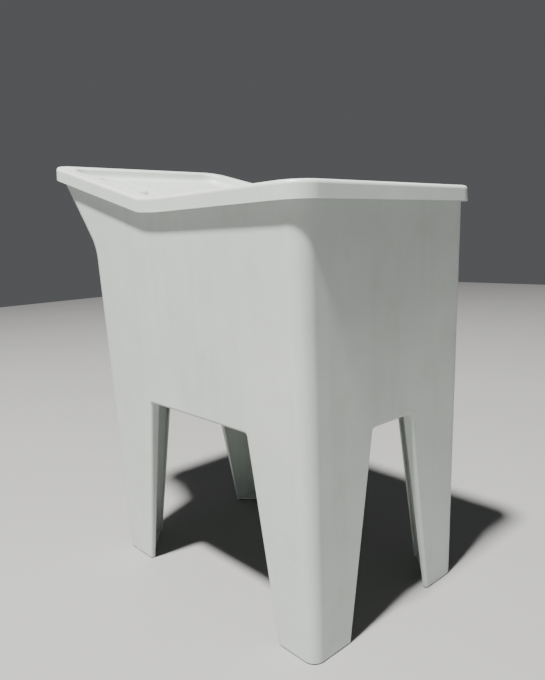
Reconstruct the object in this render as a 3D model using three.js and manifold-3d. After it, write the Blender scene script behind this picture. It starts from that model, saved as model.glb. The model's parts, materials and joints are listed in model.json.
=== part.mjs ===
// A free-standing moulded resin wash tub: a bowl with a raised, ridged washboard at the front,
// hung by its rim on a four-legged skirt, with its waste and overflow fittings underneath.
// Millimetres, +Z up, the user stands at -Y, the flat end (+Y) goes against a wall.
import * as THREE from 'three';
import { mergeVertices } from 'three/addons/utils/BufferGeometryUtils.js';
import Module from 'manifold-3d';

const solidKernel = await Module();
solidKernel.setup();

// ---------- driving dimensions ----------

const gap = 0.3; // clearance between neighbouring pieces
const wall = 5; // moulded wall thickness
const cornerSteps = 8; // facets in a quarter turn of a moulded corner
const roundSteps = 40; // facets in a full turn of a turned piece
const edgeSteps = 4; // facets across a rounded edge
const weldDistance = 0.02; // edges shorter than this are closed up after the cuts

const rim = {
  halfWidth: 258.5, halfLength: 434, radius: 52, levelTop: 850, raisedTop: 959,
  face: 30, draft: 1.5, edgeRadius: 7, kinkY: -29, kinkLift: 4, easing: 90,
};
const skirt = {
  floorHalfWidth: 227, sideDraft: 0.022, floorBack: 410, backDraft: 0.012,
  floorFront: -254, frontDraft: 0.029, floorRadius: 24, radiusGrowth: 0.016,
  flareTop: 925, flareReach: -412, flareSlope: 0.8, bendRadius: 90,
};
const cutout = {
  top: 410, cornerRadius: 6, edgeRadius: 6, lipAtTop: 20, lipAtFloor: 9,
  sideFront: -142, sideFrontLean: 72, sideBack: 314, sideBackLean: 56,
  frontHalf: 132, backHalf: 125, endLean: 66,
};
const foot = {
  plate: 5, padThickness: 2.5, padInset: 3, edge: 0.8, stemRadius: 4, headRadius: 5.4, stemInset: 28,
};
const bowl = {
  halfWidth: 220, front: -80, back: 374, radius: 65, draft: 0.138, floor: 520, floorFillet: 45,
  dishRadius: 150, dishDepth: 4, mouthRadius: 4,
};
const deck = { halfWidth: 219, front: -398, depth: 21, fillet: 10, radius: 42, tail: 60 };
const ridge = { pitch: 18, first: -362, count: 14, halfLength: 128, centreX: -36, width: 9, height: 2 };
const soap = { x: 164, y: -262, length: 176, width: 54, depth: 11, bead: 8, beadHeight: 7 };
const lug = { x: 231, front: 120, back: 340, halfWidth: 12, top: 825.3, reach: 8, bossRadius: 5.6 };
const tubScrew = {
  shankRadius: 1.8, headRadius: 4, headFlat: 2.6, headHeight: 2.8, length: 22, point: 3,
  clearanceRadius: 2.2, pilotRadius: 2.1, pilotDepth: 17.5,
};
const drain = {
  y: 150, holeRadius: 31, flangeRadius: 36.5, gasket: 2.3, cupRadius: 29, cupBore: 27.4,
  cupDepth: 5, sheet: 1.5, slotCount: 12, slotInner: 10, slotOuter: 23, slotWidth: 3.6,
};
const waste = {
  radius: 38, bore: 31.5, gasket: 2.4, tailRadius: 23.9, tailBore: 20, tailEnd: 435,
  inletDrop: 30, inletReach: 60, postRadius: 6, postTop: 5, postLength: 17, spokeWidth: 3,
  screwRadius: 2.8, screwHead: 6, screwHeadHeight: 2.6, screwSlot: 1.2,
};
const plug = {
  overGrid: 4, overFlange: 6, footRadius: 24.2, radius: 27, lipRadius: 28.6,
  eyeRadius: 4, eyeWidth: 4, eyeLift: 6, ringRadius: 11, wireRadius: 1.2,
};
const overflow = {
  z: 775, holeRadius: 16, flangeRadius: 22, gasket: 2.3, cupRadius: 18, cupBore: 15.5,
  cupDepth: 26, spigotDepth: 18, spigotLength: 45, domeHeight: 3.4, slotCount: 8,
  pipeRadius: 10, pipeBore: 8.5, sleeveRadius: 11.5, insertion: 12, bend: 40,
};
const nut = { bore: 11.8, radius: 15, ribRadius: 16, length: 15, ribCount: 12, ribWidth: 2.4 };

// ---------- heights and outlines worked out from them ----------

const soleTop = foot.padThickness; // underside of the legs
const underFloor = 20; // the skirt is drawn this far past its underside, then trimmed
const aboveRim = 20; // the hollows are cut from this far over the rim
const washboardSlope = (rim.raisedTop - rim.levelTop - rim.kinkLift) / (rim.halfLength + rim.kinkY);

// Height of the rim's top: level at the back, easing up to a kink, then a straight rise.
function rimTop(y) {
  if (y <= rim.kinkY) return rim.levelTop + rim.kinkLift + washboardSlope * (rim.kinkY - y);
  const nearness = Math.max(0, 1 - (y - rim.kinkY) / rim.easing);
  return rim.levelTop + rim.kinkLift * nearness * nearness;
}

const easingStations = [0, 0.25, 0.5, 0.75, 1].map((share) => rim.kinkY + share * rim.easing);

// The front wall of the skirt: nearly upright, a soft bend, then a straight flare to the rim.
function skirtFrontPath() {
  const flareAngle = Math.atan(skirt.flareSlope);
  const lowerAngle = Math.atan(skirt.frontDraft);
  const slopeGap = skirt.flareSlope - skirt.frontDraft;
  const flareFoot = skirt.flareTop - (skirt.floorFront - skirt.frontDraft * skirt.flareTop
    - skirt.flareReach) / slopeGap;
  const bendY = skirt.floorFront - skirt.frontDraft * flareFoot;
  const tangent = skirt.bendRadius * Math.tan((flareAngle - lowerAngle) / 2);
  const start = {
    y: bendY + tangent * Math.sin(lowerAngle),
    z: flareFoot - tangent * Math.cos(lowerAngle),
  };
  const centre = {
    y: start.y - skirt.bendRadius * Math.cos(lowerAngle),
    z: start.z - skirt.bendRadius * Math.sin(lowerAngle),
  };
  const bend = [];
  const bendSteps = 6;
  for (let step = 0; step <= bendSteps; step += 1) {
    const angle = lowerAngle + (flareAngle - lowerAngle) * step / bendSteps;
    bend.push({
      y: centre.y + skirt.bendRadius * Math.cos(angle),
      z: centre.z + skirt.bendRadius * Math.sin(angle),
    });
  }
  const floorEnd = { y: frontFaceY(-underFloor), z: -underFloor };
  return [floorEnd, ...bend, { y: skirt.flareReach, z: skirt.flareTop }];
}

const sideFaceX = (z) => skirt.floorHalfWidth + skirt.sideDraft * z;
const backFaceY = (z) => skirt.floorBack + skirt.backDraft * z;
const frontFaceY = (z) => skirt.floorFront - skirt.frontDraft * z;

// ---------- geometry helpers ----------

function toSolid(geometry) {
  geometry.deleteAttribute('normal');
  geometry.deleteAttribute('uv');
  const merged = mergeVertices(geometry);
  return new solidKernel.Manifold(new solidKernel.Mesh({
    numProp: 3,
    vertProperties: new Float32Array(merged.attributes.position.array),
    triVerts: new Uint32Array(merged.index.array),
  }));
}

// Joins the two ends of every edge shorter than weldDistance, which cuts leave behind here and
// there, and drops the triangles that this closes up.
function weldShortEdges(positions, triangles) {
  const owner = Array.from({ length: positions.length / 3 }, (_, i) => i);
  const find = (i) => {
    while (owner[i] !== i) i = owner[i];
    return i;
  };
  const corner = (i) => new THREE.Vector3().fromArray(positions, 3 * i);
  for (let i = 0; i < triangles.length; i += 1) {
    const start = triangles[i];
    const end = triangles[i % 3 === 2 ? i - 2 : i + 1];
    if (corner(start).distanceTo(corner(end)) < weldDistance) owner[find(start)] = find(end);
  }
  const kept = [];
  for (let i = 0; i < triangles.length; i += 3) {
    const [a, b, c] = [0, 1, 2].map((k) => find(triangles[i + k]));
    if (a !== b && b !== c && c !== a) kept.push(a, b, c);
  }
  return kept;
}

function toGeometry(solid) {
  const mesh = solid.getMesh();
  const positions = new Float32Array(mesh.vertProperties);
  const geometry = new THREE.BufferGeometry();
  geometry.setAttribute('position', new THREE.BufferAttribute(positions, 3));
  geometry.setIndex(weldShortEdges(positions, mesh.triVerts));
  geometry.computeVertexNormals();
  return geometry;
}

// A closed solid through rings of points. Point i and point n-1-i of a ring face each other,
// so that both end caps are strips straight across the ring.
function loft(rings) {
  const count = rings[0].length;
  const positions = rings.flat().flatMap((point) => [point.x, point.y, point.z]);
  const triangles = [];
  for (let level = 0; level < rings.length - 1; level += 1) {
    for (let i = 0; i < count; i += 1) {
      const next = (i + 1) % count;
      const lower = level * count;
      const upper = lower + count;
      triangles.push(lower + i, lower + next, upper + next);
      triangles.push(lower + i, upper + next, upper + i);
    }
  }
  const last = (rings.length - 1) * count;
  for (let i = 0; i < count / 2 - 1; i += 1) {
    const facing = count - 1 - i;
    triangles.push(i, facing - 1, i + 1, i, facing, facing - 1);
    triangles.push(last + i, last + i + 1, last + facing - 1);
    triangles.push(last + i, last + facing - 1, last + facing);
  }
  const geometry = new THREE.BufferGeometry();
  geometry.setAttribute('position', new THREE.BufferAttribute(new Float32Array(positions), 3));
  geometry.setIndex(triangles);
  return toSolid(geometry);
}

// A rounded rectangle in plan, drawn from front to back on the right and mirrored on the left.
// z is a height, or a function of y when the ring is draped over the rim's line.
function planRing({ halfWidth, front, back, radius, z, stations = [] }) {
  const heightAt = typeof z === 'function' ? z : () => z;
  const right = [];
  const addCorner = (centreY, startAngle) => {
    for (let step = 0; step <= cornerSteps; step += 1) {
      const angle = startAngle + (Math.PI / 2) * step / cornerSteps;
      right.push([halfWidth - radius + radius * Math.cos(angle), centreY + radius * Math.sin(angle)]);
    }
  };
  addCorner(front + radius, -Math.PI / 2);
  stations.forEach((y) => right.push([halfWidth, y]));
  addCorner(back - radius, 0);
  const left = right.map(([x, y]) => [-x, y]).reverse();
  return [...right, ...left].map(([x, y]) => new THREE.Vector3(x, y, heightAt(y)));
}

const insetRing = (ring, inset) => planRing({
  ...ring,
  halfWidth: ring.halfWidth - inset,
  front: ring.front + inset,
  back: ring.back - inset,
  radius: Math.max(ring.radius - inset, 1),
});

const overRim = (lift) => (y) => rimTop(y) + lift;

function cylinder(radius, height, centre, steps = roundSteps, topRadius = radius) {
  const geometry = new THREE.CylinderGeometry(topRadius, radius, height, steps);
  geometry.rotateX(Math.PI / 2);
  geometry.translate(centre.x, centre.y, centre.z + height / 2);
  return toSolid(geometry);
}

function box(low, high) {
  const geometry = new THREE.BoxGeometry(high[0] - low[0], high[1] - low[1], high[2] - low[2]);
  geometry.translate((high[0] + low[0]) / 2, (high[1] + low[1]) / 2, (high[2] + low[2]) / 2);
  return toSolid(geometry);
}

// A turned solid about a vertical axis through (x, y); the profile is [radius, height] pairs.
function turned(profile, x, y, steps = roundSteps) {
  const points = profile.map(([radius, height]) => new THREE.Vector2(radius, height));
  const geometry = new THREE.LatheGeometry(points, steps);
  geometry.rotateX(Math.PI / 2);
  geometry.translate(x, y, 0);
  return outwardSolid(geometry);
}

// A closed geometry whose triangles may face inwards is turned the right way out.
function outwardSolid(geometry) {
  const solid = toSolid(geometry);
  if (solid.volume() > 0) return solid;
  const merged = mergeVertices(geometry);
  const index = merged.index.array;
  for (let i = 0; i < index.length; i += 3) [index[i], index[i + 1]] = [index[i + 1], index[i]];
  return toSolid(merged);
}

function prism(outline, height, z) {
  const geometry = new THREE.ExtrudeGeometry(new THREE.Shape(outline), {
    depth: height, bevelEnabled: false, curveSegments: 12,
  });
  geometry.translate(0, 0, z);
  return toSolid(geometry);
}

const unite = (solids) => solids.reduce((sum, solid) => sum.add(solid));
const cutAll = (solid, cutters) => cutters.reduce((rest, cutter) => rest.subtract(cutter), solid);

// ---------- materials ----------

const resin = { color: 0xd9dcd6, roughness: 0.42, metalness: 0 };
const palePlastic = { color: 0xe6e6e2, roughness: 0.5, metalness: 0 };
const rubber = { color: 0x26282a, roughness: 0.85, metalness: 0 };
const sealRubber = { color: 0x4a4c4e, roughness: 0.8, metalness: 0 };
const steel = { color: 0xc4c6c8, roughness: 0.28, metalness: 1 };

const product = new THREE.Group();

function addPiece(name, solid, finish) {
  const mesh = new THREE.Mesh(toGeometry(solid), new THREE.MeshStandardMaterial(finish));
  mesh.name = name;
  product.add(mesh);
}

// ---------- the leg stand ----------

// The skirt's outside, grown inwards by inset; it is cut to the rim's line by its user.
function skirtBlock(inset) {
  const path = skirtFrontPath();
  const levels = [...path, { y: skirt.flareReach, z: rim.raisedTop + wall }];
  const rings = levels.map(({ y, z }) => insetRing({
    halfWidth: sideFaceX(z),
    front: y,
    back: backFaceY(z),
    radius: skirt.floorRadius + skirt.radiusGrowth * z,
    z,
  }, inset));
  return loft(rings);
}

// Everything from the underside of the legs up to a line that follows the rim.
function fromSoleToRim(lift) {
  const reach = { halfWidth: 2 * rim.halfWidth, front: -2 * rim.halfLength, back: 2 * rim.halfLength };
  const shape = { ...reach, radius: 1, stations: easingStations };
  return loft([
    planRing({ ...shape, z: soleTop }),
    planRing({ ...shape, z: overRim(lift) }),
  ]);
}

// The outline of a leg opening in its own face: across is a distance along the face, z is up.
// The two sides lean together, so the legs widen upwards, and the top corners are rounded.
function openingOutline(low, high, lowLean, highLean, outset) {
  const reach = 30;
  const top = cutout.top + outset;
  const radius = cutout.cornerRadius + outset;
  const lowAt = (z) => low + lowLean * z / cutout.top - outset;
  const highAt = (z) => high - highLean * z / cutout.top + outset;
  const outline = [{ across: highAt(-reach), z: -reach }];
  const addCorner = (sideAt, sign, startAngle) => {
    for (let step = 0; step <= 5; step += 1) {
      const angle = startAngle + (Math.PI / 2) * step / 5;
      const z = top - radius + radius * Math.sin(angle);
      outline.push({ across: sideAt(top - radius) - sign * radius + radius * Math.cos(angle), z });
    }
  };
  addCorner(highAt, 1, 0);
  addCorner(lowAt, -1, Math.PI / 2);
  outline.push({ across: lowAt(-reach), z: -reach });
  return outline;
}

// How far a rounded edge of the given radius stands back at a depth under the face.
function edgeOutset(depth, radius) {
  if (depth <= 0) return radius;
  if (depth >= radius) return 0;
  return radius - Math.sqrt(radius * radius - (radius - depth) ** 2);
}

// The four faces with an opening: where a face point lies, for a distance across, a height
// and a depth measured inwards from the face.
const sideOpening = (sign) => ({
  edges: [cutout.sideFront, cutout.sideBack, cutout.sideFrontLean, cutout.sideBackLean],
  place: (across, z, depth) => new THREE.Vector3(sign * (sideFaceX(z) - depth), across, z),
  flip: sign < 0,
});
const endOpening = (faceY, half, sign) => ({
  edges: [-half, half, cutout.endLean, cutout.endLean],
  place: (across, z, depth) => new THREE.Vector3(across, faceY(z) - sign * depth, z),
  flip: sign > 0,
});
const openings = [
  sideOpening(1), sideOpening(-1),
  endOpening(backFaceY, cutout.backHalf, 1), endOpening(frontFaceY, cutout.frontHalf, -1),
];

function openingLoft(opening, stages) {
  const rings = stages.map(({ depth, outset }) => {
    const outline = openingOutline(...opening.edges, outset);
    const ring = outline.map(({ across, z }) => {
      const here = typeof depth === 'function' ? depth(z) : depth;
      return opening.place(across, z, here);
    });
    return opening.flip ? ring : ring.reverse();
  });
  return loft(rings);
}

const throughDepth = 60;
const outsideDepth = -20;

function openingCutter(opening) {
  const stages = [{ depth: outsideDepth, outset: cutout.edgeRadius }];
  for (let step = 0; step <= edgeSteps; step += 1) {
    const angle = (Math.PI / 2) * step / edgeSteps;
    const depth = cutout.edgeRadius * (1 - Math.cos(angle));
    stages.push({ depth, outset: edgeOutset(depth, cutout.edgeRadius) });
  }
  stages.push({ depth: throughDepth, outset: 0 });
  return openingLoft(opening, stages);
}

const lipDepth = (z) => cutout.lipAtFloor
  + (cutout.lipAtTop - cutout.lipAtFloor) * Math.min(Math.max(z / cutout.top, 0), 1);

function openingLip(opening) {
  return openingLoft(opening, [
    { depth: 1, outset: wall + cutout.edgeRadius - 1 },
    { depth: wall, outset: wall + 1 },
    { depth: cutout.edgeRadius + 1, outset: wall - 1 },
    { depth: lipDepth, outset: wall - 1 },
  ]);
}

const legCorners = [
  { name: 'front_left', sideX: -1, sideY: -1 },
  { name: 'front_right', sideX: 1, sideY: -1 },
  { name: 'rear_left', sideX: -1, sideY: 1 },
  { name: 'rear_right', sideX: 1, sideY: 1 },
];

// A leg's foot in plan: the corner of the skirt closed by a diagonal between its two flanges.
function footOutline({ sideX, sideY }, inset) {
  const cornerX = skirt.floorHalfWidth;
  const cornerY = sideY > 0 ? skirt.floorBack : -skirt.floorFront;
  const reach = 30;
  const shortY = sideY > 0 ? cutout.sideBack + inset : -cutout.sideFront + inset;
  const shortX = (sideY > 0 ? cutout.backHalf : cutout.frontHalf) + inset;
  const lip = cutout.lipAtFloor;
  const points = [
    [cornerX + reach, shortY],
    [cornerX + reach, cornerY + reach],
    [shortX, cornerY + reach],
    [shortX, cornerY - lip],
    [cornerX - lip, shortY],
  ];
  const placed = points.map(([x, y]) => new THREE.Vector2(sideX * x, sideY * y));
  return sideX * sideY > 0 ? placed : placed.reverse();
}

const stemCentre = ({ sideX, sideY }) => ({
  x: sideX * (skirt.floorHalfWidth - foot.stemInset),
  y: sideY > 0 ? skirt.floorBack - foot.stemInset : skirt.floorFront + foot.stemInset,
});

function buildLegStand() {
  const outer = skirtBlock(0);
  const plateBlock = skirtBlock(wall / 2);
  const plates = legCorners.map((corner) => prism(footOutline(corner, cutout.edgeRadius),
    foot.plate + underFloor / 2, soleTop - underFloor / 2).intersect(plateBlock));
  const lugs = [-1, 1].flatMap((side) => [lug.front, lug.back].map((y) => {
    const inner = side * (lug.x - lug.reach);
    const outerX = side * (sideFaceX(lug.top) - wall / 2);
    return box(
      [Math.min(inner, outerX), y - lug.halfWidth, lug.top - wall],
      [Math.max(inner, outerX), y + lug.halfWidth, lug.top],
    );
  }));
  const stemHoles = legCorners.map((corner) => cylinder(foot.stemRadius + gap, 3 * foot.plate,
    { ...stemCentre(corner), z: 0 }, 24));
  const screwHoles = [-1, 1].flatMap((side) => [lug.front, lug.back].map((y) => cylinder(
    tubScrew.clearanceRadius, 4 * wall, { x: side * lug.x, y, z: lug.top - 2 * wall }, 16)));
  const shell = outer.subtract(skirtBlock(wall));
  const joined = unite([shell, ...openings.map(openingLip), ...plates, ...lugs]);
  const opened = cutAll(joined, [...openings.map(openingCutter), ...stemHoles, ...screwHoles]);
  return opened.intersect(fromSoleToRim(-wall - gap));
}

function buildFootPad(corner) {
  const shape = {
    halfWidth: skirt.floorHalfWidth, front: skirt.floorFront, back: skirt.floorBack,
    radius: skirt.floorRadius,
  };
  const top = soleTop - gap;
  const sole = loft([
    insetRing({ ...shape, z: 0 }, foot.padInset + foot.edge),
    insetRing({ ...shape, z: foot.edge }, foot.padInset),
    insetRing({ ...shape, z: top }, foot.padInset),
  ]).intersect(prism(footOutline(corner, cutout.edgeRadius + foot.padInset), top, 0));
  const centre = stemCentre(corner);
  const plateTop = soleTop + foot.plate;
  const stem = turned([
    [0, top / 2], [foot.stemRadius, top / 2], [foot.stemRadius, plateTop + gap],
    [foot.headRadius, plateTop + gap], [foot.stemRadius - 1, plateTop + 4], [0, plateTop + 4],
  ], centre.x, centre.y, 24);
  return sole.add(stem);
}

// ---------- the tub ----------

const rimOutline = {
  halfWidth: rim.halfWidth, front: -rim.halfLength, back: rim.halfLength, radius: rim.radius,
  stations: easingStations,
};

function buildRimShell() {
  const outside = [insetRing({ ...rimOutline, z: overRim(-rim.face) }, 0)];
  for (let step = 0; step <= edgeSteps; step += 1) {
    const angle = (Math.PI / 2) * step / edgeSteps;
    const inset = rim.draft + rim.edgeRadius * (1 - Math.cos(angle));
    const lift = rim.edgeRadius * (Math.sin(angle) - 1);
    outside.push(insetRing({ ...rimOutline, z: overRim(lift) }, inset));
  }
  const channel = loft([
    insetRing({ ...rimOutline, z: overRim(-2 * rim.face) }, wall),
    insetRing({ ...rimOutline, z: overRim(-wall - 3) }, wall + rim.draft),
    insetRing({ ...rimOutline, z: overRim(-wall) }, wall + rim.draft + 3),
  ]);
  return loft(outside).subtract(channel);
}

// The sides of the bowl lean in towards its floor; outset grows the shape for its outside.
function bowlRing(height, inset, outset, z = height) {
  const lean = bowl.draft * (rim.levelTop - Math.min(height, rim.levelTop));
  return insetRing({
    halfWidth: bowl.halfWidth - lean,
    front: bowl.front + lean,
    back: bowl.back - lean,
    radius: bowl.radius,
    z,
  }, inset - outset);
}

function bowlBlock(outset, topRings) {
  const fillet = bowl.floorFillet + outset;
  const floor = bowl.floor - outset;
  const rings = [];
  for (let step = 0; step <= 6; step += 1) {
    const angle = (Math.PI / 2) * step / 6;
    const z = floor + fillet * (1 - Math.cos(angle));
    rings.push(bowlRing(z, fillet * (1 - Math.sin(angle)), outset));
  }
  return loft([...rings, ...topRings]);
}

function bowlCavity() {
  const straightTop = rim.levelTop - bowl.mouthRadius;
  const top = [bowlRing(straightTop - 40, 0, 0)];
  for (let step = 0; step <= edgeSteps; step += 1) {
    const angle = (Math.PI / 2) * step / edgeSteps;
    const flare = bowl.mouthRadius * (1 - Math.cos(angle));
    const lift = bowl.mouthRadius * (Math.sin(angle) - 1);
    top.push(bowlRing(rim.levelTop, -flare, 0, overRim(lift)));
  }
  top.push(bowlRing(rim.levelTop, -bowl.mouthRadius, 0, overRim(aboveRim)));
  return bowlBlock(0, top);
}

const deckOutline = {
  halfWidth: deck.halfWidth, front: deck.front, back: deck.tail, radius: deck.radius,
  stations: easingStations.filter((y) => y < deck.tail - deck.radius),
};

// The recess's walls lean in by the bowl's draft, so that its tail stays inside the bowl.
const deckRing = (lift, inset) => insetRing({ ...deckOutline, z: overRim(lift) },
  inset - bowl.draft * lift);

function deckCavity() {
  const rings = [];
  for (let step = 0; step <= edgeSteps; step += 1) {
    const angle = (Math.PI / 2) * step / edgeSteps;
    const inset = deck.fillet * (1 - Math.sin(angle));
    const lift = -deck.depth + deck.fillet * (1 - Math.cos(angle));
    rings.push(deckRing(lift, inset));
  }
  for (let step = 0; step <= edgeSteps; step += 1) {
    const angle = (Math.PI / 2) * step / edgeSteps;
    const flare = bowl.mouthRadius * (1 - Math.cos(angle));
    const lift = bowl.mouthRadius * (Math.sin(angle) - 1);
    rings.push(insetRing({ ...deckOutline, z: overRim(lift) }, -flare));
  }
  rings.push(insetRing({ ...deckOutline, z: overRim(aboveRim + 5) }, -bowl.mouthRadius));
  return loft(rings);
}

function deckShell() {
  return loft([
    deckRing(-deck.depth - wall, -wall + deck.fillet),
    deckRing(-deck.depth - wall + deck.fillet, -wall),
    deckRing(-wall / 2, -wall),
  ]);
}

function floorDish(offset) {
  const top = bowl.floor + offset;
  return turned([
    [0, top - bowl.dishDepth], [drain.flangeRadius + 4, top - bowl.dishDepth],
    [bowl.dishRadius, top + 0.01], [bowl.dishRadius, top + 2], [0, top + 2],
  ], 0, drain.y, 48);
}

// One washboard ridge: a low rounded bar lying across the deck.
function ridgeBar(y) {
  const sink = 1;
  const half = ridge.width / 2;
  const radius = (half * half + ridge.height ** 2) / (2 * ridge.height);
  const spread = Math.asin(half / radius);
  const outline = [new THREE.Vector2(-half, -sink)];
  outline.push(new THREE.Vector2(half, -sink));
  for (let step = 0; step <= 6; step += 1) {
    const angle = spread * (1 - step / 3);
    outline.push(new THREE.Vector2(radius * Math.sin(angle), radius * Math.cos(angle) - radius
      + ridge.height));
  }
  const geometry = new THREE.ExtrudeGeometry(new THREE.Shape(outline), {
    depth: 2 * ridge.halfLength, bevelEnabled: false,
  });
  geometry.rotateX(Math.PI / 2);
  geometry.rotateZ(Math.PI / 2);
  geometry.rotateX(-Math.atan(washboardSlope));
  geometry.translate(ridge.centreX - ridge.halfLength, y, rimTop(y) - deck.depth);
  return toSolid(geometry);
}

// The soap dish is a long round-ended pocket with a bead round it, lying in the deck's slope.
function soapRing(outset, lift) {
  const radius = soap.width / 2 + outset;
  const half = soap.length / 2 + outset;
  return planRing({
    halfWidth: radius, front: -half, back: half, radius: radius * 0.94, z: lift,
  }).map((point) => new THREE.Vector3(
    point.x + soap.x,
    point.y + soap.y,
    point.z + rimTop(point.y + soap.y) - deck.depth,
  ));
}

const soapBead = () => loft([
  soapRing(soap.bead, -1), soapRing(soap.bead - 1, soap.beadHeight / 2),
  soapRing(soap.bead / 2, soap.beadHeight),
]);
const soapPocket = () => loft([
  soapRing(-soap.depth, -soap.depth), soapRing(-soap.depth / 3, -soap.depth * 0.7),
  soapRing(-1, -1), soapRing(0, soap.beadHeight / 2), soapRing(1.5, soap.beadHeight + 1),
]);
const soapShell = () => loft([
  soapRing(-soap.depth + 2, -soap.depth - wall), soapRing(1, -soap.depth * 0.7 - wall),
  soapRing(3, -1),
]);

const overflowY = bowl.back - bowl.draft * (rim.levelTop - overflow.z);
const overflowTilt = Math.atan(bowl.draft);

// Puts a solid built along +Z onto the overflow's axis, which leaves the bowl's back wall.
function onOverflowAxis(solid) {
  const turnDegrees = -90 - THREE.MathUtils.radToDeg(overflowTilt);
  return solid.rotate([turnDegrees, 0, 0]).translate([0, overflowY, overflow.z]);
}

function buildTub() {
  const bosses = [-1, 1].flatMap((side) => [lug.front, lug.back].map((y) => cylinder(
    lug.bossRadius, rim.levelTop - wall / 2 - lug.top - gap,
    { x: side * lug.x, y, z: lug.top + gap }, 24)));
  const bossHoles = [-1, 1].flatMap((side) => [lug.front, lug.back].map((y) => cylinder(
    tubScrew.pilotRadius, tubScrew.pilotDepth + 1, { x: side * lug.x, y, z: lug.top - 1 }, 16)));
  const bowlShell = bowlBlock(wall, [
    bowlRing(rim.levelTop - 40, 0, wall), bowlRing(rim.levelTop - wall / 2, 0, wall),
  ]);
  const body = unite([
    buildRimShell(), bowlShell, deckShell(), floorDish(-wall), soapShell(), ...bosses,
  ]);
  const hollow = cutAll(body, [bowlCavity(), deckCavity(), floorDish(0)]);
  const ridges = [];
  for (let i = 0; i < ridge.count; i += 1) ridges.push(ridgeBar(ridge.first + i * ridge.pitch));
  const overflowHole = onOverflowAxis(cylinder(overflow.holeRadius, 30, { x: 0, y: 0, z: -10 }));
  const drainHole = cylinder(drain.holeRadius, 40, { x: 0, y: drain.y, z: bowl.floor - 25 });
  return cutAll(unite([hollow, soapBead(), ...ridges]), [
    soapPocket(), drainHole, overflowHole, ...bossHoles,
  ]);
}

function buildTubScrew(side, y) {
  const { shankRadius, headRadius, headFlat, headHeight, length, point } = tubScrew;
  const headTop = lug.top - wall - gap;
  return turned([
    [0, headTop - headHeight], [headFlat, headTop - headHeight],
    [headRadius, headTop - headHeight / 2], [headRadius, headTop],
    [shankRadius, headTop], [shankRadius, headTop + length - point],
    [0.4, headTop + length], [0, headTop + length],
  ], side * lug.x, y, 20);
}

// ---------- the waste ----------

const drainFloor = bowl.floor - bowl.dishDepth;
const flangeUnder = drainFloor + drain.gasket;
const gridTop = drainFloor - drain.cupDepth;
const bodyTop = drainFloor - wall - waste.gasket;
const inletZ = drainFloor - waste.inletDrop;
const inletEnd = drain.y + waste.inletReach;

const ring = (inner, outer, low, high, y = drain.y) => turned([
  [inner, low], [outer, low], [outer, high], [inner, high], [inner, low],
], 0, y);

// A pressed steel flange with a shallow cup, whose floor is slotted as a strainer.
function buildWasteFlange() {
  const { sheet, cupRadius, cupBore, flangeRadius } = drain;
  const dish = turned([
    [0, gridTop - sheet], [cupRadius - 2, gridTop - sheet], [cupRadius, gridTop + 1],
    [cupRadius, flangeUnder], [flangeRadius, flangeUnder],
    [flangeRadius - 0.6, flangeUnder + sheet], [cupRadius, flangeUnder + sheet + 0.4],
    [cupBore, flangeUnder + sheet - 1], [cupBore, gridTop + 2],
    [cupBore - 1.4, gridTop], [0, gridTop],
  ], 0, drain.y);
  const slots = [];
  const half = drain.slotWidth / 2;
  for (let i = 0; i < drain.slotCount; i += 1) {
    const slot = box([drain.slotInner, -half, gridTop - 5], [drain.slotOuter, half, gridTop + 5]);
    slots.push(slot.rotate([0, 0, 360 * i / drain.slotCount]).translate([0, drain.y, 0]));
  }
  const screwSeat = cylinder(waste.screwRadius + 0.5, 10, { x: 0, y: drain.y, z: gridTop - 6 }, 24);
  return cutAll(dish, [...slots, screwSeat]);
}

// The casing under the bowl: a funnel down to the tail, an inlet for the overflow at the back,
// and a post on three spokes that takes the screw.
function buildWasteBody() {
  const { radius, tailRadius, tailBore, tailEnd, postTop, postLength } = waste;
  const shoulder = inletZ - 16; // the funnel narrows to the tail below the inlet
  const outside = turned([
    [0, tailEnd], [tailRadius, tailEnd], [tailRadius, shoulder], [tailRadius + 3.1, shoulder + 4],
    [radius - 4, bodyTop - 9], [radius, bodyTop - 5], [radius, bodyTop], [0, bodyTop],
  ], 0, drain.y);
  const inletOutside = cylinder(overflow.sleeveRadius, waste.inletReach, { x: 0, y: 0, z: 0 })
    .rotate([-90, 0, 0]).translate([0, drain.y, inletZ]);
  const bore = turned([
    [0, tailEnd - 1], [tailBore, tailEnd - 1], [tailBore, shoulder], [tailBore + 3.5, shoulder + 5],
    [waste.bore - 0.5, bodyTop - 9], [waste.bore, bodyTop + 1], [0, bodyTop + 1],
  ], 0, drain.y);
  const inletBore = cylinder(overflow.pipeRadius + gap, waste.inletReach, { x: 0, y: 0, z: 0 })
    .rotate([-90, 0, 0]).translate([0, drain.y + 10, inletZ]);
  const half = waste.spokeWidth / 2;
  const postFoot = bodyTop - postTop - postLength;
  const spokes = [0, 120, 240].map((angle) => box([0, -half, postFoot], [30, half, postFoot + 12])
    .rotate([0, 0, angle - 90]).translate([0, drain.y, 0]));
  const post = cylinder(waste.postRadius, postLength, { x: 0, y: drain.y, z: postFoot }, 24);
  const postHole = cylinder(waste.screwRadius + gap, postLength + 1,
    { x: 0, y: drain.y, z: postFoot + 2 }, 24);
  const casing = cutAll(outside.add(inletOutside), [bore, inletBore]);
  return unite([casing, post, ...spokes]).subtract(postHole);
}

function buildWasteScrew() {
  const { screwRadius, screwHead, screwHeadHeight } = waste;
  const under = gridTop + gap;
  const end = bodyTop - 17;
  const half = waste.screwSlot / 2;
  const screw = turned([
    [0, end], [screwRadius - 0.2, end], [screwRadius, end + 2], [screwRadius, under],
    [screwHead, under], [screwHead, under + 1], [screwHead - 2, under + screwHeadHeight],
    [0, under + screwHeadHeight],
  ], 0, drain.y, 24);
  return screw.subtract(box([-screwHead, drain.y - half, under + screwHeadHeight / 2],
    [screwHead, drain.y + half, under + 2 * screwHeadHeight]));
}

// ---------- the plug and its ring ----------

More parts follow.
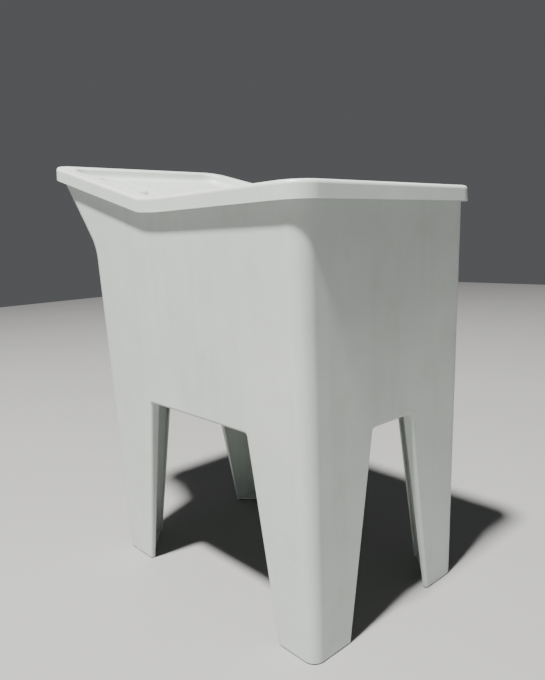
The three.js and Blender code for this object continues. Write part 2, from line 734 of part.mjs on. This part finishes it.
const plugBottom = gridTop + plug.overGrid;
const plugTop = flangeUnder + plug.overFlange;
const eyeZ = plugTop + plug.eyeLift;
const ringDroop = Math.asin((plug.eyeLift - plug.wireRadius - gap) / (2 * plug.ringRadius));

function buildPlug() {
  const { footRadius, radius, lipRadius, eyeRadius, eyeWidth, wireRadius } = plug;
  const body = turned([
    [0, plugBottom], [footRadius, plugBottom], [footRadius + 1.4, plugBottom + 1.5],
    [radius, flangeUnder + 1], [radius, flangeUnder + 2.2], [lipRadius, flangeUnder + 2.4],
    [lipRadius, plugTop - 1], [lipRadius - 1, plugTop], [0, plugTop],
  ], 0, drain.y);
  const eye = cylinder(eyeRadius, eyeWidth, { x: 0, y: 0, z: -eyeWidth / 2 }, 24)
    .rotate([0, 90, 0]).translate([0, drain.y, eyeZ]);
  const neckX = eyeWidth / 2 - 0.2;
  const neckY = eyeRadius - 0.6;
  const neck = box([-neckX, drain.y - neckY, plugTop - 1], [neckX, drain.y + neckY, eyeZ]);
  const hole = cylinder(wireRadius + 0.5, 5 * eyeWidth, { x: 0, y: 0, z: -2.5 * eyeWidth }, 20)
    .rotate([0, 90, 0]).translate([0, drain.y, eyeZ]);
  return unite([body, neck, eye]).subtract(hole);
}

function buildPlugRing() {
  const torus = new THREE.TorusGeometry(plug.ringRadius, plug.wireRadius, 12, roundSteps);
  return toSolid(torus).translate([0, -plug.ringRadius, 0])
    .rotate([THREE.MathUtils.radToDeg(ringDroop), 0, 0]).translate([0, drain.y, eyeZ]);
}

// ---------- the overflow ----------

const spigotY = overflowY + overflow.spigotDepth * Math.cos(overflowTilt);
const spigotEnd = overflow.z - overflow.spigotLength;

function buildOverflowGrille() {
  const { domeHeight, flangeRadius, slotCount } = overflow;
  const disc = turned([
    [0, -domeHeight], [8, -domeHeight + 0.1], [18, -domeHeight + 0.8], [flangeRadius, -1.2],
    [flangeRadius, -gap], [0, -gap],
  ], 0, 0);
  const slots = [];
  for (let i = 0; i < slotCount; i += 1) {
    slots.push(box([6.5, -1.6, -10], [13.5, 1.6, 10]).rotate([0, 0, 360 * (i + 0.5) / slotCount]));
  }
  const screwHole = cylinder(tubScrew.clearanceRadius, 20, { x: 0, y: 0, z: -10 }, 20);
  return onOverflowAxis(cutAll(disc, [...slots, screwHole]));
}

function buildOverflowElbow() {
  const { flangeRadius, cupRadius, cupBore, cupDepth } = overflow;
  const flangeFace = wall + overflow.gasket + gap;
  const flangeBack = flangeFace + 3;
  const cup = onOverflowAxis(turned([
    [0, flangeFace], [flangeRadius, flangeFace], [flangeRadius, flangeBack],
    [cupRadius, flangeBack], [cupRadius, cupDepth - 2], [cupRadius - 2, cupDepth], [0, cupDepth],
  ], 0, 0));
  const inside = onOverflowAxis(turned([
    [0, flangeFace - 1], [cupBore, flangeFace - 1], [cupBore, cupDepth - 3], [0, cupDepth - 3],
  ], 0, 0));
  const spigotTop = overflow.z - overflow.spigotDepth * Math.sin(overflowTilt);
  const spigot = cylinder(overflow.sleeveRadius, spigotTop - spigotEnd,
    { x: 0, y: spigotY, z: spigotEnd });
  const spigotBore = cylinder(overflow.pipeRadius + gap, spigotTop - spigotEnd,
    { x: 0, y: spigotY, z: spigotEnd - 1 });
  const post = onOverflowAxis(cylinder(2 * tubScrew.shankRadius, cupDepth - 4,
    { x: 0, y: 0, z: 2 }, 20));
  const postHole = onOverflowAxis(cylinder(tubScrew.pilotRadius, 16, { x: 0, y: 0, z: 0 }, 16));
  const trimmed = spigot.intersect(onOverflowAxis(box([-30, -60, 8.5], [30, 60, cupDepth + 20])));
  const casing = cutAll(cup.add(trimmed), [inside, spigotBore]);
  return casing.add(post).subtract(postHole);
}

function buildOverflowScrew() {
  const { shankRadius, headRadius, headFlat, headHeight } = tubScrew;
  const seat = -overflow.domeHeight - gap;
  const end = 14;
  return onOverflowAxis(turned([
    [0, seat - headHeight], [headFlat, seat - headHeight], [headRadius, seat - headHeight / 2],
    [headRadius, seat], [shankRadius, seat], [shankRadius, end - 2], [0.5, end], [0, end],
  ], 0, 0, 20));
}

// The overflow pipe drops from the elbow, turns forwards and runs level into the waste body.
function pipeAlongRoute(radius, overrun) {
  const top = spigotEnd + overflow.insertion + overrun;
  const bendTop = new THREE.Vector3(0, spigotY, inletZ + overflow.bend);
  const bendEnd = new THREE.Vector3(0, spigotY - overflow.bend, inletZ);
  const centre = new THREE.Vector3(0, spigotY - overflow.bend, inletZ + overflow.bend);
  const bendPoints = [];
  const bendSteps = 8;
  for (let step = 1; step < bendSteps; step += 1) {
    const angle = (Math.PI / 2) * step / bendSteps;
    bendPoints.push(new THREE.Vector3(0, centre.y + overflow.bend * Math.cos(angle),
      centre.z - overflow.bend * Math.sin(angle)));
  }
  const points = [
    new THREE.Vector3(0, spigotY, top), bendTop, ...bendPoints, bendEnd,
    new THREE.Vector3(0, inletEnd - overflow.insertion - overrun, inletZ),
  ];
  return tubeThrough(points, radius);
}

// A round bar through a list of points in the YZ plane, mitred at every point.
function tubeThrough(points, radius) {
  const steps = 24;
  const rings = points.map((point, i) => {
    const before = points[Math.max(i - 1, 0)];
    const after = points[Math.min(i + 1, points.length - 1)];
    const heading = after.clone().sub(before).normalize();
    const across = new THREE.Vector3(1, 0, 0);
    const up = across.clone().cross(heading);
    const ringPoints = [];
    for (let step = 0; step < steps; step += 1) {
      const angle = (2 * Math.PI * (step + 0.5)) / steps;
      ringPoints.push(point.clone()
        .addScaledVector(across, radius * Math.cos(angle))
        .addScaledVector(up, -radius * Math.sin(angle)));
    }
    return ringPoints;
  });
  return loft(rings);
}

// A ribbed union nut standing on the origin, then put in its place.
function buildNut(place) {
  const { bore, radius, ribRadius, length, ribCount } = nut;
  const half = nut.ribWidth / 2;
  const ribs = [];
  for (let i = 0; i < ribCount; i += 1) {
    const rib = box([radius - 0.4, -half, 0], [ribRadius, half, length]);
    ribs.push(rib.rotate([0, 0, 360 * i / ribCount]));
  }
  const sleeve = turned([
    [bore, 0], [radius - 0.8, 0], [radius, 1], [radius, length - 1], [radius - 0.8, length],
    [bore, length], [bore, 0],
  ], 0, 0);
  return place(unite([sleeve, ...ribs]));
}

// ---------- assembly ----------

addPiece('leg_stand', buildLegStand(), resin);
addPiece('tub_basin', buildTub(), resin);
legCorners.forEach((corner) => addPiece(`foot_pad_${corner.name}`, buildFootPad(corner), rubber));
[['left', -1], ['right', 1]].forEach(([sideName, side]) => {
  [['front', lug.front], ['rear', lug.back]].forEach(([endName, y]) => {
    addPiece(`tub_screw_${endName}_${sideName}`, buildTubScrew(side, y), steel);
  });
});
addPiece('waste_flange', buildWasteFlange(), steel);
addPiece('waste_flange_gasket', ring(drain.holeRadius + gap, drain.flangeRadius - 1,
  drainFloor + gap, flangeUnder - gap), sealRubber);
addPiece('waste_body_gasket', ring(drain.holeRadius + 0.5, waste.radius - 0.5,
  bodyTop + gap, drainFloor - wall - gap), sealRubber);
addPiece('waste_body', buildWasteBody(), palePlastic);
addPiece('waste_screw', buildWasteScrew(), steel);
addPiece('drain_plug', buildPlug(), rubber);
addPiece('plug_ring', buildPlugRing(), steel);
addPiece('overflow_grille', buildOverflowGrille(), steel);
addPiece('overflow_screw', buildOverflowScrew(), steel);
addPiece('overflow_gasket', onOverflowAxis(ring(overflow.holeRadius + gap,
  overflow.flangeRadius - 0.5, wall + gap, wall + overflow.gasket, 0)), sealRubber);
addPiece('overflow_elbow', buildOverflowElbow(), palePlastic);
addPiece('overflow_pipe', pipeAlongRoute(overflow.pipeRadius, 0)
  .subtract(pipeAlongRoute(overflow.pipeBore, 1)), palePlastic);
addPiece('overflow_nut_upper', buildNut((solid) => solid
  .translate([0, spigotY, spigotEnd - 1])), palePlastic);
addPiece('overflow_nut_lower', buildNut((solid) => solid.rotate([-90, 0, 0])
  .translate([0, inletEnd - nut.length + 1, inletZ])), palePlastic);

export default product;
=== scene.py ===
"""Finished meshes, procedural materials, studio and camera for the free-standing resin wash tub."""
import json
from math import cos, radians, sin

import bmesh
import bpy
from mathutils import Matrix, Vector


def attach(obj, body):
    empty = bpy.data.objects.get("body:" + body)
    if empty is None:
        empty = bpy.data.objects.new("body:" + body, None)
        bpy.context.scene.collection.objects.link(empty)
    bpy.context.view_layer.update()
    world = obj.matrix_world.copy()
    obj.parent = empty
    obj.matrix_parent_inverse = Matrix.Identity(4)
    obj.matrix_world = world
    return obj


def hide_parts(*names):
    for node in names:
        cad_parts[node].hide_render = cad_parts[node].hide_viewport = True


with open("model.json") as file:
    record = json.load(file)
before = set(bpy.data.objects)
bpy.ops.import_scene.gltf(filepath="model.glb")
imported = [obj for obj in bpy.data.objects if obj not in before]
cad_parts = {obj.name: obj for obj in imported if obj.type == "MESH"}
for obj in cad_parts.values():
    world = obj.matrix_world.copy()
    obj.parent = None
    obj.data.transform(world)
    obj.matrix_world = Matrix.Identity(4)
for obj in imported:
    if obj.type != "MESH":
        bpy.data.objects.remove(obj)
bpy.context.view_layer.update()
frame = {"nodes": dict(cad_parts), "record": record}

# ---------- driving values, metres and degrees ----------

MM = 0.001
SMOOTH_ANGLE = 29  # edges flatter than this are shaded as one surface
FLAT_ANGLE = 0.3  # neighbouring facets closer than this become one face
WELD_DISTANCE = 0.01 * MM
EDGE_SEGMENTS = 3
SOFTENED_EDGE = {
    "resin": 1.1 * MM,
    "fitting_plastic": 0.4 * MM,
    "foot_rubber": 0.4 * MM,
    "plug_rubber": 0.4 * MM,
    "seal_rubber": 0.2 * MM,
    "stainless": 0.25 * MM,
}

CAMERA_PLACE = (0.9125, 1.0936, 0.7670)
CAMERA_YAW = -132.017  # heading, counter-clockwise from +X
CAMERA_PITCH = -10.954
CAMERA_ROLL = -2.296
CAMERA_LENS = 32.29  # millimetres, as is the sensor
CAMERA_SENSOR = 36.0
CAMERA_SHIFT = (-0.0010, 0.0197)

KEY_HEADING = (0.34, 0.095, 0.93)  # from the tub's middle towards the key light
KEY_DISTANCE = 8.0
KEY_TARGET = (0, 0, 0.55)
KEY_SIZE = 0.7
KEY_POWER = 2450  # watts
KEY_COLOR = (1.0, 0.985, 0.965)
FILL_PLACE = (1.9, 1.6, 0.12)
FILL_TARGET = (0, 0.1, 0.05)
FILL_SIZE = 0.9
FILL_POWER = 2.5
FILL_COLOR = (1.0, 1.0, 0.98)
SKY_COLOR = (0.93, 0.95, 1.0)
SKY_STRENGTH = 0.10
FLOOR_SIZE = 14.0

# ---------- colours, linear ----------

RESIN_PALE = (0.620, 0.665, 0.632)
RESIN_DEEP = (0.545, 0.592, 0.560)
RESIN_DUST = (0.50, 0.51, 0.46)
RESIN_SCUFF = (0.78, 0.80, 0.77)
RESIN_RUN = (0.47, 0.51, 0.47)
FOOT_BLACK = (0.018, 0.018, 0.019)
SEAL_GREY = (0.055, 0.056, 0.060)
PLUG_BLACK = (0.022, 0.022, 0.025)
STEEL_BRIGHT = (0.60, 0.61, 0.62)
STEEL_WATER_MARK = (0.45, 0.45, 0.44)
FITTING_WHITE = (0.72, 0.72, 0.69)
FITTING_CLOUD = (0.62, 0.62, 0.58)
FLOOR_LOW = (0.285, 0.285, 0.279)
FLOOR_HIGH = (0.310, 0.310, 0.303)


# ---------- node helpers ----------

def new_material(name):
    material = bpy.data.materials.new(name)
    material.use_nodes = True
    tree = material.node_tree
    return material, tree, tree.nodes["Principled BSDF"]


def noise(tree, where, scale, detail=3.0, rough=0.55):
    """A noise texture's 0..1 factor."""
    node = tree.nodes.new("ShaderNodeTexNoise")
    node.inputs["Scale"].default_value = scale
    node.inputs["Detail"].default_value = detail
    node.inputs["Roughness"].default_value = rough
    tree.links.new(where, node.inputs["Vector"])
    return node.outputs["Fac"]


def object_space(tree, stretch=(1, 1, 1)):
    """Object coordinates, the part's own metres; a larger stretch packs the pattern tighter."""
    coords = tree.nodes.new("ShaderNodeTexCoord")
    mapping = tree.nodes.new("ShaderNodeMapping")
    mapping.inputs["Scale"].default_value = stretch
    tree.links.new(coords.outputs["Object"], mapping.inputs["Vector"])
    return mapping.outputs["Vector"]


def ramp(tree, factor, low, high, low_value, high_value):
    """Maps low..high of a factor onto two grey values, clamped."""
    node = tree.nodes.new("ShaderNodeMapRange")
    node.inputs["From Min"].default_value = low
    node.inputs["From Max"].default_value = high
    node.inputs["To Min"].default_value = low_value
    node.inputs["To Max"].default_value = high_value
    tree.links.new(factor, node.inputs["Value"])
    return node.outputs["Result"]


def add(tree, first, second):
    node = tree.nodes.new("ShaderNodeMath")
    node.operation = "ADD"
    tree.links.new(first, node.inputs[0])
    tree.links.new(second, node.inputs[1])
    return node.outputs["Value"]


def mix_color(tree, factor, first, second):
    """Blends two colours, each a socket or a plain colour."""
    node = tree.nodes.new("ShaderNodeMix")
    node.data_type = "RGBA"
    # in colour mode sockets 0, 6 and 7 are the factor, A and B, and output 2 is the result
    tree.links.new(factor, node.inputs[0])
    link_or_set(tree, node.inputs[6], first)
    link_or_set(tree, node.inputs[7], second)
    return node.outputs[2]


def link_or_set(tree, socket, color):
    if isinstance(color, bpy.types.NodeSocket):
        tree.links.new(color, socket)
    else:
        socket.default_value = (*color, 1.0)


def bump(tree, shader, layers):
    """Chains bump nodes; each layer is (height, strength, distance in metres)."""
    previous = None
    for height, strength, distance in layers:
        node = tree.nodes.new("ShaderNodeBump")
        node.inputs["Strength"].default_value = strength
        node.inputs["Distance"].default_value = distance
        tree.links.new(height, node.inputs["Height"])
        if previous is not None:
            tree.links.new(previous, node.inputs["Normal"])
        previous = node.outputs["Normal"]
    tree.links.new(previous, shader.inputs["Normal"])


# ---------- materials ----------

def resin_color(tree, clouds, blotches, scuffs, runs):
    """Clouded off-white with a little dust, pale scuffs and faint vertical runs."""
    base = mix_color(tree, ramp(tree, clouds, 0.35, 0.68, 0.0, 1.0), RESIN_DEEP, RESIN_PALE)
    dusty = mix_color(tree, ramp(tree, blotches, 0.52, 0.78, 0.0, 0.35), base, RESIN_DUST)
    scuffed = mix_color(tree, ramp(tree, scuffs, 0.635, 0.70, 0.0, 0.55), dusty, RESIN_SCUFF)
    return mix_color(tree, ramp(tree, runs, 0.50, 0.72, 0.0, 0.28), scuffed, RESIN_RUN)


def resin_material():
    """Satin moulded plastic with a fine skin and slightly wavy walls."""
    material, tree, shader = new_material("resin")
    where = object_space(tree)
    clouds = noise(tree, where, 3.1)
    blotches = noise(tree, where, 14.0, 5.0, 0.6)
    scuffs = noise(tree, object_space(tree, (9.0, 9.0, 2.2)), 16.0, 8.0, 0.72)
    runs = noise(tree, object_space(tree, (26.0, 26.0, 1.3)), 1.0, 4.0, 0.6)
    skin = noise(tree, where, 900.0, 2.0)
    waves = noise(tree, where, 7.0, 2.0)
    color = resin_color(tree, clouds, blotches, scuffs, runs)
    satin = ramp(tree, blotches, 0.3, 0.75, 0.27, 0.42)
    smears = ramp(tree, runs, 0.35, 0.70, 0.0, 0.10)
    tree.links.new(color, shader.inputs["Base Color"])
    tree.links.new(add(tree, satin, smears), shader.inputs["Roughness"])
    shader.inputs["Specular IOR Level"].default_value = 0.5
    shader.inputs["Subsurface Weight"].default_value = 0.06
    shader.inputs["Subsurface Radius"].default_value = (0.006, 0.006, 0.005)
    shader.inputs["Subsurface Scale"].default_value = 0.6
    bump(tree, shader, ((waves, 0.25, 0.004), (skin, 0.16, 0.0002), (scuffs, 0.10, 0.0004)))
    return material


def rubber_material(name, color, roughness):
    """Dark rubber with patches of pale dust and a fine grain."""
    material, tree, shader = new_material(name)
    where = object_space(tree)
    dust = noise(tree, where, 60.0, 4.0)
    lighter = tuple(c * 1.9 + 0.01 for c in color)
    tint = mix_color(tree, ramp(tree, dust, 0.45, 0.75, 0.0, 0.8), color, lighter)
    tree.links.new(tint, shader.inputs["Base Color"])
    matt = ramp(tree, dust, 0.3, 0.7, roughness - 0.1, roughness + 0.08)
    tree.links.new(matt, shader.inputs["Roughness"])
    bump(tree, shader, ((noise(tree, where, 1400.0, 2.0), 0.3, 0.0002),))
    return material


def steel_material():
    """Brushed stainless: streaks run across the part, with faint water marks."""
    material, tree, shader = new_material("stainless")
    streaks = noise(tree, object_space(tree, (40.0, 1400.0, 400.0)), 1.0, 4.0)
    marks = noise(tree, object_space(tree), 95.0, 5.0)
    tint = mix_color(tree, ramp(tree, marks, 0.45, 0.75, 0.0, 0.6), STEEL_BRIGHT, STEEL_WATER_MARK)
    tree.links.new(tint, shader.inputs["Base Color"])
    tree.links.new(ramp(tree, streaks, 0.3, 0.7, 0.22, 0.38), shader.inputs["Roughness"])
    shader.inputs["Metallic"].default_value = 1.0
    bump(tree, shader, ((streaks, 0.15, 0.0001),))
    return material


def fitting_material():
    """White moulded fitting plastic with a fine spark-eroded grain."""
    material, tree, shader = new_material("fitting_plastic")
    where = object_space(tree)
    clouds = noise(tree, where, 40.0, 4.0)
    tint = mix_color(tree, ramp(tree, clouds, 0.4, 0.7, 0.0, 1.0), FITTING_WHITE, FITTING_CLOUD)
    tree.links.new(tint, shader.inputs["Base Color"])
    tree.links.new(ramp(tree, clouds, 0.3, 0.7, 0.38, 0.52), shader.inputs["Roughness"])
    bump(tree, shader, ((noise(tree, where, 1600.0, 2.0), 0.25, 0.0002),))
    return material


def floor_material():
    """Plain pale grey with a barely uneven tone."""
    material, tree, shader = new_material("studio_floor")
    where = object_space(tree)
    soft = noise(tree, where, 1.2, 4.0)
    tint = mix_color(tree, soft, FLOOR_LOW, FLOOR_HIGH)
    tree.links.new(tint, shader.inputs["Base Color"])
    shader.inputs["Roughness"].default_value = 0.85
    return material


MATERIALS = {
    "resin": resin_material(),
    "foot_rubber": rubber_material("foot_rubber", FOOT_BLACK, 0.75),
    "seal_rubber": rubber_material("seal_rubber", SEAL_GREY, 0.70),
    "plug_rubber": rubber_material("plug_rubber", PLUG_BLACK, 0.55),
    "stainless": steel_material(),
    "fitting_plastic": fitting_material(),
}


# ---------- finished pieces ----------

def clean_mesh(source, name):
    """A copy of a CAD mesh with its coplanar facets joined, shaded smooth over its curved stretches."""
    mesh = source.data.copy()
    mesh.name = name
    shape = bmesh.new()
    shape.from_mesh(mesh)
    bmesh.ops.remove_doubles(shape, verts=shape.verts, dist=WELD_DISTANCE)
    bmesh.ops.dissolve_limit(
        shape, angle_limit=radians(FLAT_ANGLE), verts=shape.verts, edges=shape.edges,
    )
    bmesh.ops.recalc_face_normals(shape, faces=shape.faces)
    shape.to_mesh(mesh)
    shape.free()
    mesh.shade_smooth()
    mesh.set_sharp_from_angle(angle=radians(SMOOTH_ANGLE))
    return mesh


def soften(piece, width):
    """Rounds a piece's sharp edges and keeps its flat faces evenly shaded."""
    edge = piece.modifiers.new("softened_edges", "BEVEL")
    edge.width = width
    edge.segments = EDGE_SEGMENTS
    edge.limit_method = "ANGLE"
    edge.angle_limit = radians(SMOOTH_ANGLE)
    edge.use_clamp_overlap = True
    edge.harden_normals = False
    normals = piece.modifiers.new("even_shading", "WEIGHTED_NORMAL")
    normals.keep_sharp = True
    normals.weight = 80


def finish_node(node, slot_name, body):
    """Replaces one CAD node by its finished piece: softened edges, even shading, its material."""
    source = frame["nodes"][node]
    piece = bpy.data.objects.new(f"{node}_finished", clean_mesh(source, f"{node}_mesh"))
    bpy.context.scene.collection.objects.link(piece)
    piece.matrix_world = source.matrix_world.copy()
    piece.data.materials.clear()
    piece.data.materials.append(MATERIALS[slot_name])
    soften(piece, SOFTENED_EDGE[slot_name])
    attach(piece, body)
    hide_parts(node)


slot_of = {entry["node"]: entry["material_slot"] for entry in frame["record"]["subparts"]}
for body_name, node_names in frame["record"]["behaviour"]["bodies"].items():
    for node_name in node_names:
        finish_node(node_name, slot_of[node_name], body_name)


# ---------- studio ----------

def add_floor():
    mesh = bpy.data.meshes.new("floor_mesh")
    half = FLOOR_SIZE / 2
    corners = [(-half, -half, 0), (half, -half, 0), (half, half, 0), (-half, half, 0)]
    mesh.from_pydata(corners, [], [(0, 1, 2, 3)])
    mesh.materials.append(floor_material())
    floor = bpy.data.objects.new("floor", mesh)
    bpy.context.scene.collection.objects.link(floor)


def add_area_light(name, place, target, size, power, color):
    """A round light that faces its target."""
    light = bpy.data.lights.new(name, "AREA")
    light.shape = "DISK"
    light.size = size
    light.energy = power
    light.color = color
    holder = bpy.data.objects.new(name, light)
    holder.location = place
    heading = Vector(target) - Vector(place)
    holder.rotation_mode = "QUATERNION"
    holder.rotation_quaternion = heading.to_track_quat("-Z", "Y")
    bpy.context.scene.collection.objects.link(holder)


def add_lights():
    """A far, high key like open sunlight, with a weak fill near the floor and a dim sky."""
    key_place = tuple(t + KEY_DISTANCE * h for t, h in zip(KEY_TARGET, KEY_HEADING))
    add_area_light("key", key_place, KEY_TARGET, KEY_SIZE, KEY_POWER, KEY_COLOR)
    add_area_light("low_fill", FILL_PLACE, FILL_TARGET, FILL_SIZE, FILL_POWER, FILL_COLOR)
    world = bpy.data.worlds.new("studio_world")
    world.use_nodes = True
    background = world.node_tree.nodes["Background"]
    background.inputs["Color"].default_value = (*SKY_COLOR, 1.0)
    background.inputs["Strength"].default_value = SKY_STRENGTH
    bpy.context.scene.world = world


def add_camera():
    """Places the camera from its heading, pitch and roll."""
    yaw, pitch, roll = (radians(a) for a in (CAMERA_YAW, CAMERA_PITCH, CAMERA_ROLL))
    forward = Vector((cos(yaw) * cos(pitch), sin(yaw) * cos(pitch), sin(pitch)))
    level_right = forward.cross(Vector((0, 0, 1))).normalized()
    level_up = level_right.cross(forward)
    right = cos(roll) * level_right + sin(roll) * level_up
    up = cos(roll) * level_up - sin(roll) * level_right
    camera = bpy.data.cameras.new("camera")
    camera.sensor_width = CAMERA_SENSOR
    camera.lens = CAMERA_LENS
    camera.shift_x, camera.shift_y = CAMERA_SHIFT
    holder = bpy.data.objects.new("camera", camera)
    turn = Matrix((right, up, -forward)).transposed().to_4x4()
    holder.matrix_world = Matrix.Translation(CAMERA_PLACE) @ turn
    bpy.context.scene.collection.objects.link(holder)
    bpy.context.scene.camera = holder


add_floor()
add_lights()
add_camera()
